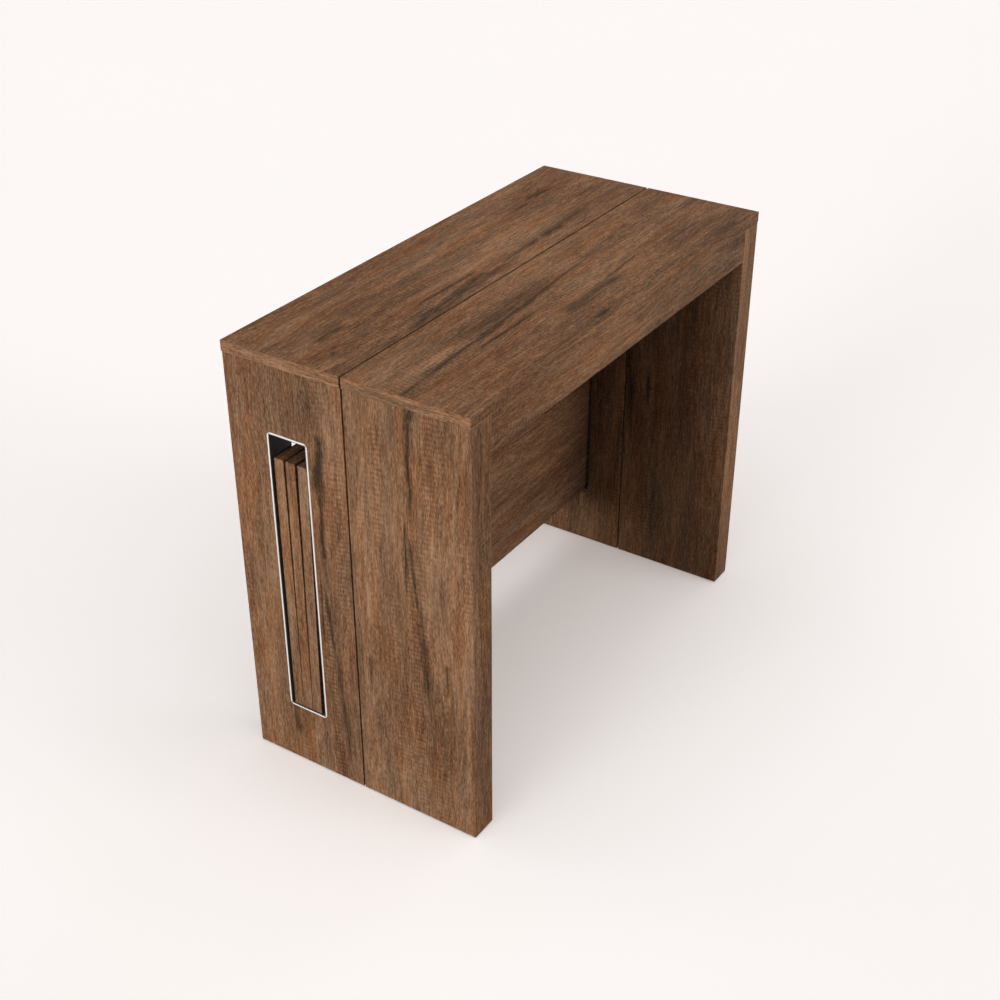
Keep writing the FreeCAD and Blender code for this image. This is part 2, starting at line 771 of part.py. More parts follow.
def leaf(number, foot, *lean):
    """A leaf on its edge, with sockets below and pins above, turned by the axis and angle of its lean."""
    name = f"leaf_{number}"
    body = new_board(name, leaf_length, board, leaf_width)
    line = [(leaf_length / 2 + spot, board / 2) for spot in pin_spots]
    drill(body, "bottom", ZERO, line, socket_radius, socket_depth)
    seat = pin_length - pin_reach
    drill(body, "top", leaf_width, line, pin_radius + joint_fit, seat + joint_fit)
    x, z = -(leaf_length / 2), slot_floor + leaf_rest
    place(body, x, foot, z, *lean)
    sub_part(body, name)
    pins = []
    for u, v in line:
        pin_body = new_body("leaf_pin")
        outline = new_sketch(pin_body, "top", leaf_width - seat)
        draw_circle(outline, u, v, pin_radius)
        pad(pin_body, outline, pin_length)
        place(pin_body, x, foot, z, *lean)
        pins.append(pin_body)
    group(f"{name}_pins", pins)


def leaves():
    """Three leaves, from the back: one upright, and two that lean towards the slot's front wall."""
    rear_foot = slot_back - leaf_back_gap - board
    middle_foot = rear_foot - size("middle_leaf_gap") - board
    front_foot = middle_foot - size("front_leaf_gap") - board
    front_lean = arc_sine((size("front_leaf_room") - size("leaf_head_clearance")) / leaf_width)
    leaf(1, rear_foot)
    leaf(2, middle_foot, X_AXIS, front_lean * size("middle_leaf_lean_share"))
    leaf(3, front_foot, X_AXIS, front_lean)


def frame_pieces(frame):
    """The pieces that both frames have."""
    top_board(frame)
    for side in (LEFT, RIGHT):
        leg(frame, side)
    apron(frame)
    frame_dowels(frame)
    cam_fittings(frame)
    glides(frame)
    group(f"{frame}_rail_brackets", [bracket(frame, side) for side in (LEFT, RIGHT)])
    bracket_screws(frame)


def rails():
    """Both sets of rails, with their sliders and stops."""
    for side in (LEFT, RIGHT):
        for number in range(1, RAIL_COUNT + 1):
            sub_part(rail(side, number), rail_name(side, number))
        for number in range(2, RAIL_COUNT):
            sub_part(slider(side, number), f"{SIDE_NAMES[side]}_slider_{number}")
            sub_part(stop(side, number), f"{SIDE_NAMES[side]}_stop_{number}")
    group("rear_rail_stops", [stop(side, 1) for side in (LEFT, RIGHT)])
    group("front_rail_sliders", [slider(side, RAIL_COUNT) for side in (LEFT, RIGHT)])


def front_top_pins():
    """Pins along the front top's seam edge."""
    y = -half_seam - (pin_length - pin_reach)
    z = under_top + board / 2
    pins = [cylinder("pin", pin_radius, pin_length, spot, y, z, X_AXIS, -QUARTER) for spot in pin_spots]
    group("front_top_pins", pins)


def check():
    """Stop if any object failed or any piece is empty or broken."""
    for item in document.Objects:
        if "Invalid" in item.State or "Error" in item.State:
            raise RuntimeError(f"{item.Label} failed: {item.State}")
    for item in sub_parts:
        if item.Shape.isNull() or not item.Shape.isValid():
            raise RuntimeError(f"{item.Label} has no valid shape")


def main():
    frame_pieces(REAR)
    for side in (LEFT, RIGHT):
        slot_sleeve(side)
    seam_bumpers()
    frame_pieces(FRONT)
    front_top_pins()
    rails()
    leaves()
    document.recompute()
    check()
    os.makedirs("parts", exist_ok=True)
    for item in sub_parts:
        item.Shape.exportStep(f"parts/{item.Label}.step")
    print(f"{len(sub_parts)} pieces")


main()
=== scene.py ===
"""Extending console table: finishes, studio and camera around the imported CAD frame."""

import logging
import math
from dataclasses import dataclass, field, replace
from enum import Enum
from typing import Sequence, Union

import bmesh
import bpy
from mathutils import Euler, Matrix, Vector

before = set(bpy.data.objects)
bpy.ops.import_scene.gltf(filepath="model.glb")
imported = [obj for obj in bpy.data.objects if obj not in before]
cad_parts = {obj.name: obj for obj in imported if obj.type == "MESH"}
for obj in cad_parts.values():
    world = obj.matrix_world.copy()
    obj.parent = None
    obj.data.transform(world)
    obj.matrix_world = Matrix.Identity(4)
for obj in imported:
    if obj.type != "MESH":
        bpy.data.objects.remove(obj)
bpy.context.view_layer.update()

log = logging.getLogger("console_table")

Socket = bpy.types.NodeSocket
Feed = Union[Socket, float, Sequence[float]]
MM = 1000.0
X_AXIS, Y_AXIS, Z_AXIS = (1, 0, 0), (0, 1, 0), (0, 0, 1)

# Sizes of the CAD part that the prints are counted from, in millimetres
TOP_HEIGHT = 756.0
HALF_WIDTH = 450.0
HALF_DEPTH = 220.0
LEG_REACH = 448.0
FRONT_TOP_START = 2.0

SAW_PITCH = 8.2
MARK_SEED_STEP = 1.37
# A face counts as a board's end where its normal lies at least this far along the end axis
END_FACING = 0.7


class Side(Enum):
    """The two ends of the table, as seen from the front."""

    LEFT = -1
    RIGHT = 1

    @property
    def prefix(self) -> str:
        """Returns the word that this side's node names begin with."""
        return self.name.lower()


class Half(Enum):
    """The two frames that draw apart."""

    REAR = "rear"
    FRONT = "front"


class MarkKind(Enum):
    """What a mark does to the printed wood."""

    CRACK = "crack"
    GREY = "grey"
    LIGHT = "light"
    SAWN = "sawn"


@dataclass(frozen=True)
class Tint:
    """A colour as it looks on a screen, each channel from 0 to 255."""

    red: float
    green: float
    blue: float

    def linear(self) -> tuple[float, float, float, float]:
        """Returns the colour as linear light with full alpha."""
        channels = []
        for level in (self.red, self.green, self.blue):
            share = level / 255
            channels.append(share / 12.92 if share <= 0.04045 else ((share + 0.055) / 1.055) ** 2.4)
        return (*channels, 1.0)


@dataclass
class Wiring:
    """Places shader nodes in one tree and links them."""

    tree: bpy.types.NodeTree

    def place(self, kind: str, **settings: object) -> bpy.types.Node:
        """Adds a node.

        Args:
            kind: the node's type name.
            settings: attributes of the node.

        Returns:
            The new node.
        """
        node = self.tree.nodes.new(kind)
        for name, value in settings.items():
            setattr(node, name, value)
        return node

    def feed(self, socket: Socket, value: Feed) -> None:
        """Links an output to a socket, or sets the socket's own value."""
        if isinstance(value, bpy.types.NodeSocket):
            self.tree.links.new(value, socket)
        else:
            socket.default_value = value

    def maths(self, operation: str, *values: Feed) -> Socket:
        """Works out one number.

        Args:
            operation: the Math node's operation.
            values: its inputs in order.

        Returns:
            The result's socket.
        """
        node = self.place("ShaderNodeMath", operation=operation)
        for socket, value in zip(node.inputs, values):
            self.feed(socket, value)
        return node.outputs[0]

    def largest(self, values: Sequence[Feed]) -> Feed:
        """Returns the largest of some numbers, or 0 where there is none."""
        result: Feed = 0.0
        for position, value in enumerate(values):
            result = value if position == 0 else self.maths("MAXIMUM", result, value)
        return result

    def blended(self, terms: Sequence[tuple[Feed, float]], middle: float) -> Socket:
        """Adds weighted noises round a middle value.

        Args:
            terms: pairs of a noise about 0.5 and its weight.
            middle: the value where every noise is 0.5.

        Returns:
            The sum's socket.
        """
        result: Feed = middle - sum(0.5 * weight for _, weight in terms)
        for value, weight in terms:
            result = self.maths("MULTIPLY_ADD", value, weight, result)
        return result

    def along(self, point: Feed, axis: Sequence[float]) -> Socket:
        """Returns how far a point lies along an axis."""
        node = self.place("ShaderNodeVectorMath", operation="DOT_PRODUCT")
        self.feed(node.inputs[0], point)
        self.feed(node.inputs[1], axis)
        return node.outputs["Value"]

    def point(self, *places: Feed) -> Socket:
        """Joins three numbers into a point."""
        node = self.place("ShaderNodeCombineXYZ")
        for socket, value in zip(node.inputs, places):
            self.feed(socket, value)
        return node.outputs[0]

    def noise(self, point: Feed, detail: float = 2.0, roughness: float = 0.5, scale: float = 1.0) -> Socket:
        """Returns smooth noise about 0.5 at a point."""
        node = self.place("ShaderNodeTexNoise", noise_dimensions="3D")
        self.feed(node.inputs["Vector"], point)
        self.feed(node.inputs["Scale"], scale)
        self.feed(node.inputs["Detail"], detail)
        self.feed(node.inputs["Roughness"], roughness)
        return node.outputs["Fac"]

    def wander(self, place: Feed, seed: Feed, length: float) -> Socket:
        """Returns smooth noise about 0.5 that changes along one direction only."""
        node = self.place("ShaderNodeTexNoise", noise_dimensions="1D")
        self.feed(node.inputs["W"], self.maths("MULTIPLY_ADD", place, 1.0 / length, seed))
        self.feed(node.inputs["Scale"], 1.0)
        self.feed(node.inputs["Detail"], 1.0)
        return node.outputs["Fac"]

    def stretched(self, along: Feed, across: Feed, depth: Feed, length: float, breadth: float,
                  detail: float = 2.0, roughness: float = 0.5) -> Socket:
        """Noise drawn out along the grain.

        Args:
            along: place along the grain in millimetres.
            across: place across the grain in millimetres.
            depth: place in the third direction, one for each pattern.
            length: size of a patch along the grain in millimetres.
            breadth: size of a patch across the grain in millimetres.
            detail: octaves of the noise.
            roughness: strength of the finer octaves.

        Returns:
            The noise's socket.
        """
        place = self.point(self.maths("DIVIDE", along, length), self.maths("DIVIDE", across, breadth), depth)
        return self.noise(place, detail, roughness)

    def eased(self, value: Feed, start: float, end: float, low: float = 0.0, high: float = 1.0) -> Socket:
        """Turns a range of a value smoothly into another range."""
        node = self.place("ShaderNodeMapRange", interpolation_type="SMOOTHSTEP")
        for socket, number in zip(node.inputs, (value, start, end, low, high)):
            self.feed(socket, number)
        return node.outputs[0]

    def tinted(self, factor: Feed, first: Feed, second: Feed, blend: str = "MIX") -> Socket:
        """Mixes two colours by a factor."""
        node = self.place("ShaderNodeMix", data_type="RGBA", blend_type=blend)
        for index, value in ((0, factor), (6, first), (7, second)):
            self.feed(node.inputs[index], value)
        return node.outputs[2]

    def between(self, factor: Feed, first: Feed, second: Feed) -> Socket:
        """Mixes two numbers by a factor."""
        node = self.place("ShaderNodeMix", data_type="FLOAT")
        for index, value in ((0, factor), (2, first), (3, second)):
            self.feed(node.inputs[index], value)
        return node.outputs[0]

    def ramp(self, factor: Feed, stops: Sequence[tuple[float, Tint]]) -> Socket:
        """Turns a number into a colour.

        Args:
            factor: the number.
            stops: places from 0 to 1 with their colours.

        Returns:
            The colour's socket.
        """
        node = self.place("ShaderNodeValToRGB")
        band = node.color_ramp
        while len(band.elements) < len(stops):
            band.elements.new(0.5)
        for element, (place, tint) in zip(band.elements, stops):
            element.position = place
            element.color = tint.linear()
        self.feed(node.inputs[0], factor)
        return node.outputs[0]

    def grouped(self, group: bpy.types.NodeTree, **inputs: Feed) -> bpy.types.Node:
        """Places a node group and feeds its inputs by name."""
        node = self.place("ShaderNodeGroup", node_tree=group)
        for name, value in inputs.items():
            self.feed(node.inputs[name], value)
        return node


@dataclass
class EffectGroup:
    """A shader node group that several finishes share."""

    name: str
    inputs: Sequence[tuple[str, str]]
    outputs: Sequence[tuple[str, str]]
    tree: bpy.types.NodeTree = field(init=False)
    wiring: Wiring = field(init=False)

    def __post_init__(self) -> None:
        """Makes the group with its named sockets."""
        self.tree = bpy.data.node_groups.new(self.name, "ShaderNodeTree")
        for direction, sockets in (("INPUT", self.inputs), ("OUTPUT", self.outputs)):
            for name, kind in sockets:
                self.tree.interface.new_socket(name=name, in_out=direction, socket_type=f"NodeSocket{kind}")
        self.wiring = Wiring(self.tree)
        self._entry = self.wiring.place("NodeGroupInput")
        self._exit = self.wiring.place("NodeGroupOutput")

    def given(self, name: str) -> Socket:
        """Returns the socket that carries an input inside the group."""
        return self._entry.outputs[name]

    def put(self, name: str, value: Feed) -> None:
        """Sends a value out of the group."""
        self.wiring.feed(self._exit.inputs[name], value)


@dataclass(frozen=True)
class WalnutTones:
    """Colours of the printed rough-sawn walnut."""

    shades: tuple[tuple[float, Tint], ...] = (
        (0.10, Tint(70, 49, 35)),
        (0.34, Tint(102, 72, 51)),
        (0.50, Tint(122, 88, 63)),
        (0.66, Tint(141, 104, 76)),
        (0.90, Tint(168, 127, 95)),
    )
    russet: Tint = Tint(255, 242, 230)
    ash: Tint = Tint(236, 243, 251)
    crack: Tint = Tint(50, 40, 31)
    smoke: Tint = Tint(178, 184, 187)


class EffectShop:
    """Builds each shared effect once and keeps it."""

    def __init__(self) -> None:
        """Builds all the groups."""
        self.mark = self._mark()
        self.print = self._print(WalnutTones())
        self.lines = self._lines()
        self.speckle = self._speckle()

    @staticmethod
    def _mark() -> bpy.types.NodeTree:
        """Builds a crack or streak that follows the grain, with a soft zone beside it.

        Returns:
            The group's tree.
        """
        numbers = ("Along", "Across", "Start", "End", "Offset", "Slope", "Width", "Spread", "Seed")
        group = EffectGroup("grain_mark", [(name, "Float") for name in numbers],
                            [("Line", "Float"), ("Halo", "Float")])
        w = group.wiring
        along, across, seed, width = (group.given(name) for name in ("Along", "Across", "Seed", "Width"))
        start = group.given("Start")
        run = w.maths("SUBTRACT", along, start)
        share = w.maths("DIVIDE", run, w.maths("SUBTRACT", group.given("End"), start))
        fade = w.maths("MULTIPLY", w.eased(share, 0.0, 0.18), w.eased(share, 1.0, 0.7))
        sway = w.maths("SUBTRACT", w.wander(along, seed, 60.0), 0.5)
        centre = w.maths("MULTIPLY_ADD", run, group.given("Slope"), group.given("Offset"))
        centre = w.maths("MULTIPLY_ADD", sway, w.maths("MULTIPLY", width, 2.4), centre)
        far = w.maths("ABSOLUTE", w.maths("SUBTRACT", across, centre))
        swell = w.maths("MULTIPLY_ADD", w.wander(along, seed, 21.0), 1.8, -0.2)
        near = w.maths("DIVIDE", far, w.maths("MULTIPLY", width, w.maths("MAXIMUM", swell, 0.15)))
        group.put("Line", w.maths("MULTIPLY", w.eased(near, 1.6, 0.1), fade))
        soft = w.eased(w.maths("DIVIDE", far, group.given("Spread")), 1.0, 0.0)
        group.put("Halo", w.maths("MULTIPLY", soft, fade))
        return group.tree

    @staticmethod
    def _print(tones: WalnutTones) -> bpy.types.NodeTree:
        """Builds the printed wood from its zones, streaks, fibres, pores and saw marks.

        Args:
            tones: the print's colours.

        Returns:
            The group's tree.
        """
        numbers = ("Along", "Across", "Seed", "Bend", "Crack", "Grey", "Light", "Sawn", "Shade")
        group = EffectGroup("walnut_print", [(name, "Float") for name in numbers],
                            [("Color", "Color"), ("Roughness", "Float"), ("Height", "Float")])
        w = group.wiring
        along, across, seed = (group.given(name) for name in ("Along", "Across", "Seed"))
        bend = w.maths("SUBTRACT", w.stretched(along, across, seed, 420.0, 90.0), 0.5)
        flow = w.maths("MULTIPLY_ADD", bend, group.given("Bend"), across)

        def layer(depth: float, length: float, breadth: float, detail: float = 2.0) -> Socket:
            """Returns one noise layer of the print."""
            return w.stretched(along, flow, w.maths("ADD", seed, depth), length, breadth, detail, 0.55)

        cloud = layer(1.9, 340.0, 110.0, 1.0)
        zone = layer(3.1, 260.0, 32.0, 2.0)
        hue = layer(7.7, 170.0, 24.0)
        streak = layer(11.3, 90.0, 8.0, 3.0)
        fleck = layer(14.7, 27.0, 3.2, 2.0)
        fibre = layer(17.9, 8.5, 1.6)
        dash = layer(23.3, 6.0, 0.9, 1.0)
        pore = w.eased(dash, 0.60, 0.72)
        patch = w.eased(layer(29.5, 200.0, 34.0), 0.50, 0.66, 0.04, 0.7)
        sawn = w.maths("MAXIMUM", patch, group.given("Sawn"))
        wobble = w.stretched(along, across, seed, 60.0, 22.0)
        phase = w.maths("MULTIPLY_ADD", wobble, 9.0, w.maths("MULTIPLY_ADD", across, 0.12, along))
        wave = w.maths("SINE", w.maths("MULTIPLY", phase, math.tau / SAW_PITCH))
        ripple = w.eased(wave, -0.9, 0.5, -1.0, 0.4)
        sawing = w.maths("MULTIPLY", ripple, w.maths("MULTIPLY", sawn, w.eased(fleck, 0.3, 0.6, 0.3, 1.0)))
        tone = w.blended(((cloud, 0.6), (zone, 0.42), (streak, 0.48), (fleck, 0.8), (fibre, 1.1)), 0.5)
        tone = w.maths("MULTIPLY_ADD", sawing, 0.12, tone)
        tone = w.maths("MULTIPLY_ADD", pore, -0.14, tone)
        tone = w.maths("MULTIPLY_ADD", group.given("Light"), 0.13, tone)
        tone = w.maths("ADD", tone, group.given("Shade"))
        color = w.ramp(tone, tones.shades)
        color = w.tinted(w.eased(hue, 0.50, 0.66), color, tones.russet.linear(), "MULTIPLY")
        color = w.tinted(w.eased(hue, 0.50, 0.34), color, tones.ash.linear(), "MULTIPLY")
        mottled = w.maths("MULTIPLY", group.given("Grey"), w.eased(streak, 0.7, 0.4, 0.5, 1.0))
        color = w.tinted(mottled, color, tones.smoke.linear(), "MULTIPLY")
        split = w.maths("MULTIPLY", group.given("Crack"), w.eased(fibre, 0.68, 0.42, 0.45, 0.9))
        color = w.tinted(split, color, tones.crack.linear())
        group.put("Color", color)
        group.put("Roughness", w.maths("MULTIPLY_ADD", pore, 0.12, w.eased(fibre, 0.3, 0.7, 0.56, 0.68)))
        relief = w.blended(((fibre, 0.6), (streak, 0.5)), 0.5)
        relief = w.maths("MULTIPLY_ADD", pore, -0.45, relief)
        relief = w.maths("MULTIPLY_ADD", sawing, 0.2, relief)
        group.put("Height", w.maths("MULTIPLY_ADD", group.given("Crack"), -0.6, relief))
        return group.tree

    @staticmethod
    def _lines() -> bpy.types.NodeTree:
        """Builds fine drawn lines, as on extruded metal or straight-grained pegs.

        Returns:
            The group's tree.
        """
        numbers = ("Along", "Across", "Depth", "Pitch")
        group = EffectGroup("drawn_lines", [(name, "Float") for name in numbers],
                            [("Mask", "Float"), ("Height", "Float")])
        w = group.wiring
        along = w.maths("DIVIDE", group.given("Along"), w.maths("MULTIPLY", group.given("Pitch"), 90.0))
        across = w.maths("DIVIDE", group.given("Across"), group.given("Pitch"))
        depth = w.maths("DIVIDE", group.given("Depth"), group.given("Pitch"))
        fine = w.noise(w.point(along, across, depth), 3.0, 0.6)
        broad = w.noise(w.point(along, across, depth), 1.0, 0.5, 0.12)
        group.put("Mask", w.blended(((fine, 1.2), (broad, 1.0)), 0.5))
        group.put("Height", fine)
        return group.tree

    @staticmethod
    def _speckle() -> bpy.types.NodeTree:
        """Builds the fine mottling of moulded plastic, zinc and paint.

        Returns:
            The group's tree.
        """
        group = EffectGroup("fine_speckle", [("Point", "Vector"), ("Grain", "Float")],
                            [("Mask", "Float"), ("Height", "Float")])
        w = group.wiring
        node = w.place("ShaderNodeVectorMath", operation="SCALE")
        w.feed(node.inputs[0], group.given("Point"))
        w.feed(node.inputs["Scale"], w.maths("DIVIDE", 1.0, group.given("Grain")))
        fine = w.noise(node.outputs[0], 3.0, 0.6)
        broad = w.noise(node.outputs[0], 2.0, 0.5, 0.08)
        group.put("Mask", w.blended(((fine, 0.9), (broad, 1.3)), 0.5))
        group.put("Height", fine)
        return group.tree


class Finish:
    """A material with its Principled shader and its point in millimetres."""

    def __init__(self, name: str) -> None:
        """Makes the material's first nodes.

        Args:
            name: the material's name.
        """
        self.material = bpy.data.materials.new(name)
        self.material.use_nodes = True
        self.wiring = Wiring(self.material.node_tree)
        self.shader = self.material.node_tree.nodes["Principled BSDF"]
        place = self.wiring.place("ShaderNodeTexCoord")
        scaled = self.wiring.place("ShaderNodeVectorMath", operation="SCALE")
        self.wiring.feed(scaled.inputs[0], place.outputs["Object"])
        self.wiring.feed(scaled.inputs["Scale"], MM)
        self.point = scaled.outputs[0]
        self.facing = place.outputs["Normal"]

    def set(self, **values: Feed) -> None:
        """Feeds the shader's sockets, with underscores for spaces in their names."""
        for name, value in values.items():
            self.wiring.feed(self.shader.inputs[name.replace("_", " ")], value)

    def relief(self, height: Feed, depth: float, strength: float) -> None:
        """Raises the surface by a height.

        Args:
            height: the height's socket, from 0 to 1.
            depth: what a height of 1 stands for, in metres.
            strength: how strongly the bump shows.
        """
        bump = self.wiring.place("ShaderNodeBump")
        self.wiring.feed(bump.inputs["Strength"], strength)
        self.wiring.feed(bump.inputs["Distance"], depth)
        self.wiring.feed(bump.inputs["Height"], height)
        self.wiring.feed(self.shader.inputs["Normal"], bump.outputs["Normal"])


@dataclass(frozen=True)
class GrainLay:
    """How the print lies on a face: two axes and the places that they are counted from, in millimetres."""

    along: tuple[float, float, float]
    across: tuple[float, float, float]
    along_start: float = 0.0
    across_start: float = 0.0

    def places(self, finish: Finish) -> tuple[Socket, Socket]:
        """Returns the point's places along and across the grain."""
        w = finish.wiring
        return (w.maths("ADD", w.along(finish.point, self.along), self.along_start),
                w.maths("ADD", w.along(finish.point, self.across), self.across_start))


@dataclass(frozen=True)
class GrainMark:
    """A crack, grey zone, light streak or sawn band on a board, in millimetres along and across its grain."""

    kind: MarkKind
    start: float
    end: float
    offset: float
    slope: float = 0.0
    width: float = 2.0
    spread: float = 12.0

    def moved(self, along: float, across: float) -> "GrainMark":
        """Returns the mark at another place on the print."""
        return replace(self, start=self.start + along, end=self.end + along, offset=self.offset + across)


@dataclass(frozen=True)
class WalnutBoard:
    """The printed finish of one board."""

    name: str
    seed: float
    face: GrainLay
    end: GrainLay
    end_axis: tuple[float, float, float]
    marks: tuple[GrainMark, ...] = ()
    # face_shade moves the print's tone on the faces; the tops, legs and leaves carry some painted light and
    # shade through it
    face_shade: float = 0.0
    end_shade: float = 0.1
    face_bend: float = 34.0
    end_bend: float = 4.0
    specular: float = 0.04
    relief_depth: float = 0.0004
    relief_strength: float = 0.35

    def material(self, shop: EffectShop) -> bpy.types.Material:
        """Builds the board's material.

        Args:
            shop: the shared effects.

        Returns:
            The material.
        """
        finish = Finish(self.name)
        w = finish.wiring
        facing = w.maths("ABSOLUTE", w.along(finish.facing, self.end_axis))
        turned = w.maths("GREATER_THAN", facing, END_FACING)
        face_along, face_across = self.face.places(finish)
        end_along, end_across = self.end.places(finish)
        kinds: dict[MarkKind, list[Socket]] = {kind: [] for kind in MarkKind}
        for number, mark in enumerate(self.marks):
            node = w.grouped(shop.mark, Along=face_along, Across=face_across, Start=mark.start, End=mark.end,
                             Offset=mark.offset, Slope=mark.slope, Width=mark.width, Spread=mark.spread,
                             Seed=self.seed + MARK_SEED_STEP * number)
            if mark.kind is MarkKind.CRACK:
                kinds[MarkKind.CRACK].append(node.outputs["Line"])
                kinds[MarkKind.GREY].append(node.outputs["Halo"])
            else:
                kinds[mark.kind].append(node.outputs["Halo"])
        on_face = w.maths("SUBTRACT", 1.0, turned)
        sums = {kind: w.maths("MULTIPLY", w.largest(values), on_face) for kind, values in kinds.items()}
        node = w.grouped(shop.print, Along=w.between(turned, face_along, end_along),
                         Across=w.between(turned, face_across, end_across), Seed=self.seed,
                         Bend=w.between(turned, self.face_bend, self.end_bend),
                         Crack=sums[MarkKind.CRACK], Grey=sums[MarkKind.GREY], Light=sums[MarkKind.LIGHT],
                         Sawn=sums[MarkKind.SAWN],
                         Shade=w.between(turned, self.face_shade, self.end_shade))
        finish.set(Base_Color=node.outputs["Color"], Roughness=node.outputs["Roughness"],
                   Specular_IOR_Level=self.specular)
        finish.relief(node.outputs["Height"], self.relief_depth, self.relief_strength)
        return finish.material


@dataclass(frozen=True)
class DrawnFinish:
    """Aluminium drawn along one axis, or straight-grained wood, with fine lines."""

    name: str
    dark: Tint
    light: Tint
    along: tuple[float, float, float]
    pitch: float
    smooth: float
    rough: float
    metallic: float = 1.0
    relief_depth: float = 0.00008
    relief_strength: float = 0.25

    def material(self, shop: EffectShop) -> bpy.types.Material:
        """Builds the material.

        Args:
            shop: the shared effects.

        Returns:
            The material.
        """
        finish = Finish(self.name)
        w = finish.wiring
        axis = Vector(self.along)
        side = Vector((axis.z, axis.x, axis.y))
        third = axis.cross(side)
        node = w.grouped(shop.lines, Along=w.along(finish.point, self.along),
                         Across=w.along(finish.point, side), Depth=w.along(finish.point, third),
                         Pitch=self.pitch)
        mask = node.outputs["Mask"]
        finish.set(Base_Color=w.tinted(w.eased(mask, 0.1, 0.9), self.dark.linear(), self.light.linear()),
                   Roughness=w.eased(mask, 0.1, 0.9, self.rough, self.smooth), Metallic=self.metallic)
        finish.relief(node.outputs["Height"], self.relief_depth, self.relief_strength)
        return finish.material


@dataclass(frozen=True)
class MottledFinish:
    """Moulded plastic, rubber, zinc plate or paint, with fine mottling."""

    name: str
    dark: Tint
    light: Tint
    grain: float
    smooth: float
    rough: float
    metallic: float = 0.0
    transmission: float = 0.0
    relief_depth: float = 0.00006
    relief_strength: float = 0.3

    def material(self, shop: EffectShop) -> bpy.types.Material:
        """Builds the material.

        Args:
            shop: the shared effects.

        Returns:
            The material.
        """
        finish = Finish(self.name)
        w = finish.wiring
        node = w.grouped(shop.speckle, Point=finish.point, Grain=self.grain)
        mask = node.outputs["Mask"]
        finish.set(Base_Color=w.tinted(w.eased(mask, 0.1, 0.9), self.dark.linear(), self.light.linear()),
                   Roughness=w.eased(mask, 0.1, 0.9, self.rough, self.smooth), Metallic=self.metallic,
                   Transmission_Weight=self.transmission)
        finish.relief(node.outputs["Height"], self.relief_depth, self.relief_strength)
        return finish.material


CRACK, GREY, LIGHT, SAWN = MarkKind

TOP_END = GrainLay(Y_AXIS, Z_AXIS)
LEG_END = GrainLay(X_AXIS, Y_AXIS)
LEAF_END = GrainLay(Z_AXIS, Y_AXIS)
REAR_TOP_LAY = GrainLay(X_AXIS, (0, -1, -1), HALF_WIDTH, TOP_HEIGHT + HALF_DEPTH)
FRONT_TOP_LAY = GrainLay(X_AXIS, (0, -1, -1), HALF_WIDTH, TOP_HEIGHT - FRONT_TOP_START)

REAR_TOP_MARKS = (
    GrainMark(CRACK, 170, 450, 213, -0.10, 2.2, 13),
    GrainMark(CRACK, 300, 440, 193, -0.06, 1.6, 9),
    GrainMark(CRACK, 450, 600, 189, -0.05, 2.2, 10),
    GrainMark(GREY, 180, 560, 206, -0.02, 3.0, 20),
    GrainMark(CRACK, 590, 672, 182, 0.0, 7.0, 17),
    GrainMark(GREY, 640, 760, 178, 0.0, 3.0, 16),
    GrainMark(CRACK, 260, 430, 171, 0.01, 1.2, 6),
    GrainMark(GREY, 60, 150, 122, 0.0, 3.0, 18),
    GrainMark(GREY, 725, 800, 68, 0.05, 3.0, 14),
    GrainMark(CRACK, 672, 722, 80, 0.0, 1.6, 7),
    GrainMark(CRACK, 780, 860, 135, 0.0, 1.3, 5),
    GrainMark(LIGHT, 60, 260, 50, 0.03, 2.0, 16),
    GrainMark(LIGHT, 260, 640, 74, 0.0, 2.0, 22),
    GrainMark(SAWN, 80, 380, 190, 0.0, 3.0, 30),
    GrainMark(SAWN, 240, 620, 130, 0.0, 3.0, 26),
)
FRONT_TOP_MARKS = (
    GrainMark(CRACK, -60, 660, 106, -0.056, 1.7, 9),
    GrainMark(CRACK, -50, 150, 103, -0.02, 2.4, 8),
    GrainMark(CRACK, 170, 440, 98, -0.07, 2.2, 10),
    GrainMark(CRACK, 160, 370, 112, 0.0, 1.5, 6),
    GrainMark(GREY, 150, 480, 74, -0.02, 3.0, 24),
    GrainMark(CRACK, 390, 560, 80, -0.06, 1.4, 7),
    GrainMark(GREY, 540, 700, 64, -0.01, 3.0, 10),
    GrainMark(GREY, 820, 960, 98, 0.0, 3.0, 20),
    GrainMark(GREY, 340, 560, 150, 0.0, 3.0, 18),
    GrainMark(CRACK, 680, 800, 148, -0.01, 1.5, 6),
    GrainMark(CRACK, 490, 640, 139, -0.06, 1.2, 5),
    GrainMark(CRACK, 360, 410, 199, 0.0, 2.4, 8),
    GrainMark(GREY, 740, 860, 203, 0.0, 3.0, 10),
    GrainMark(LIGHT, 230, 640, 6, 0.0, 2.0, 9),
    GrainMark(LIGHT, 560, 800, 45, 0.0, 2.0, 18),
    GrainMark(LIGHT, 10, 160, 75, 0.03, 2.0, 14),
    GrainMark(SAWN, -60, 240, 95, 0.0, 3.0, 50),
    GrainMark(SAWN, 300, 560, 120, 0.0, 3.0, 30),
)
